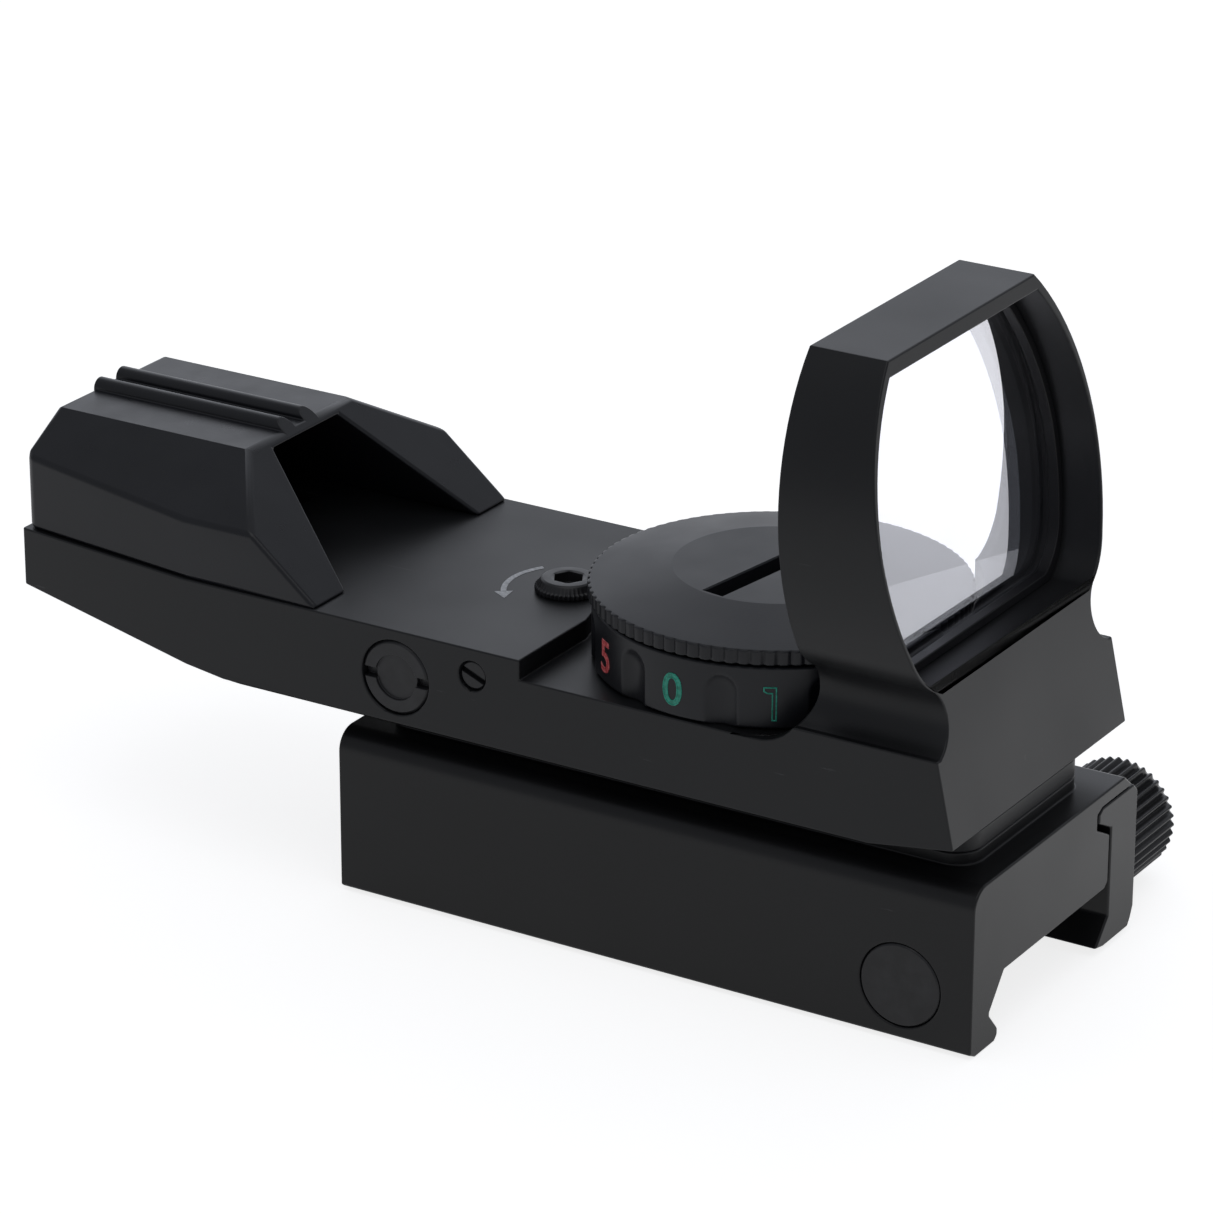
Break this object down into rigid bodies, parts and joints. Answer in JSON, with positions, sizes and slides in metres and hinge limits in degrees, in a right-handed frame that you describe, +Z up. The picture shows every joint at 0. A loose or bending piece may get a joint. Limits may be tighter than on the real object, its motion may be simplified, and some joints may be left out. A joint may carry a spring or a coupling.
{
  "type": "red dot finder",
  "caption": "Open reflex finder: tilted lens hoop, brightness dial with coin-slot battery cap, rear emitter hood, elevation and windage screws, side-nut rail clamp.",
  "frame": {"origin": "centre of the clamp's seat, the flat that rests on top of the rail", "axes": "+X along the rail to the lens end, +Y to the clamp's thumb nut, +Z up"},
  "size_m": [0.0962, 0.0459, 0.0585],
  "materials": {
    "anodised_body": "black anodised, fine bead-blast satin",
    "anodised_clamp": "black anodised, semi-gloss",
    "anodised_dial": "black anodised, turned",
    "hood_plastic": "moulded, fine satin",
    "bezel_plastic": "moulded, satin",
    "black_steel": "black oxide",
    "bright_steel": "bright drawn",
    "brass": "machined",
    "lens": "polished, pale coating",
    "green_paint": "filled engraving",
    "red_paint": "filled engraving",
    "mark_paint": "printed",
    "circuit_board": "solder mask",
    "led_resin": "clear tinted resin",
    "wire_jacket": "silicone jacket",
    "cell_steel": "nickel-plated",
    "seal_rubber": "matte"
  },
  "bodies": {
    "finder": {"mount_base": "anodised_clamp", "cross_bolt": "black_steel", "mount_screws": "black_steel", "sight_body": "anodised_body", "lens_glass": "lens", "lens_bezel": "bezel_plastic", "bottom_cover": "anodised_body", "cover_screws": "black_steel", "emitter_hood": "hood_plastic", "hood_screws": "black_steel", "yaw_pivot_pins": "bright_steel", "led_wires": "wire_jacket", "elevation_spring": "bright_steel", "windage_spring": "bright_steel", "elevation_mark": "mark_paint", "dial_board": "circuit_board", "board_screws": "bright_steel", "detent_ball": "bright_steel", "detent_spring": "bright_steel", "battery_spring": "bright_steel"},
    "dial": {"brightness_drum": "anodised_dial", "dial_numbers_green": "green_paint", "dial_numbers_red": "red_paint", "dial_clip": "bright_steel", "dial_wiper": "brass", "battery_cell": "cell_steel"},
    "cap_ring": {"cap_seal": "seal_rubber"},
    "cap": {"battery_cap": "anodised_dial", "cap_contact": "brass"},
    "elevation_knob": {"elevation_screw": "black_steel", "elevation_clip": "bright_steel"},
    "elevation_pin": {"elevation_pusher": "bright_steel"},
    "windage_knob": {"windage_screw": "black_steel", "windage_clip": "bright_steel"},
    "windage_pin": {"windage_pusher": "bright_steel"},
    "yoke": {"gimbal_yoke": "brass", "pitch_pivot_pins": "bright_steel"},
    "arm": {"emitter_arm": "brass", "led_board": "circuit_board", "led_emitter": "led_resin", "reticle_plate": "bright_steel"},
    "lock": {"lock_screw": "black_steel"},
    "jaw": {"clamp_jaw": "anodised_clamp"},
    "nut": {"thumb_nut": "anodised_clamp"}
  },
  "joints": [
    {"name": "dial_turn", "type": "hinge", "parent": "finder", "child": "dial", "pos_m": [0.0042, 0, 0.022], "axis": [0, 0, 1], "continuous": true},
    {"name": "cap_rise", "type": "slide", "parent": "dial", "child": "cap_ring", "axis": [0, 0, 1], "range_m": [0, 0.0015]},
    {"name": "cap_turn", "type": "hinge", "parent": "cap_ring", "child": "cap", "pos_m": [0.0042, 0, 0.0255], "axis": [0, 0, 1], "range_deg": [0, 540]},
    {"name": "elevation_turn", "type": "hinge", "parent": "finder", "child": "elevation_knob", "pos_m": [-0.0163, 0, 0.0208], "axis": [0, 0, 1], "range_deg": [-288, 288]},
    {"name": "elevation_feed", "type": "slide", "parent": "finder", "child": "elevation_pin", "axis": [0, 0, 1], "range_m": [-0.0004, 0.0004]},
    {"name": "windage_turn", "type": "hinge", "parent": "finder", "child": "windage_knob", "pos_m": [-0.024, -0.0138, 0.0163], "axis": [0, 1, 0], "range_deg": [-360, 360]},
    {"name": "windage_feed", "type": "slide", "parent": "finder", "child": "windage_pin", "axis": [0, 1, 0], "range_m": [-0.0005, 0.0005]},
    {"name": "carriage_yaw", "type": "hinge", "parent": "finder", "child": "yoke", "pos_m": [-0.04, 0, 0.0159], "axis": [0, 0, 1], "range_deg": [-1.8, 1.8], "deforming": ["windage_spring"]},
    {"name": "carriage_pitch", "type": "hinge", "parent": "yoke", "child": "arm", "pos_m": [-0.04, 0, 0.0159], "axis": [0, 1, 0], "range_deg": [-0.97, 0.97], "deforming": ["elevation_spring"]},
    {"name": "lock_screw_turn", "type": "hinge", "parent": "finder", "child": "lock", "pos_m": [-0.0162, -0.0145, 0.0182], "axis": [0, 1, 0], "range_deg": [0, 180]},
    {"name": "jaw_slide", "type": "slide", "parent": "finder", "child": "jaw", "axis": [0, 1, 0], "range_m": [0, 0.002]},
    {"name": "thumb_nut_turn", "type": "hinge", "parent": "jaw", "child": "nut", "pos_m": [0.0244, 0.022, -0.0008], "axis": [0, 1, 0], "range_deg": [0, 900]}
  ],
  "couplings": [
    {"joint": "cap_turn", "follows": "cap_rise", "rad_per_m": 6283.2},
    {"joint": "elevation_turn", "follows": "elevation_feed", "rad_per_m": -12566},
    {"joint": "carriage_pitch", "follows": "elevation_feed", "rad_per_m": -42.194},
    {"joint": "windage_turn", "follows": "windage_feed", "rad_per_m": -12566},
    {"joint": "carriage_yaw", "follows": "windage_feed", "rad_per_m": 62.5},
    {"joint": "thumb_nut_turn", "follows": "jaw_slide", "rad_per_m": 7854}
  ]
}
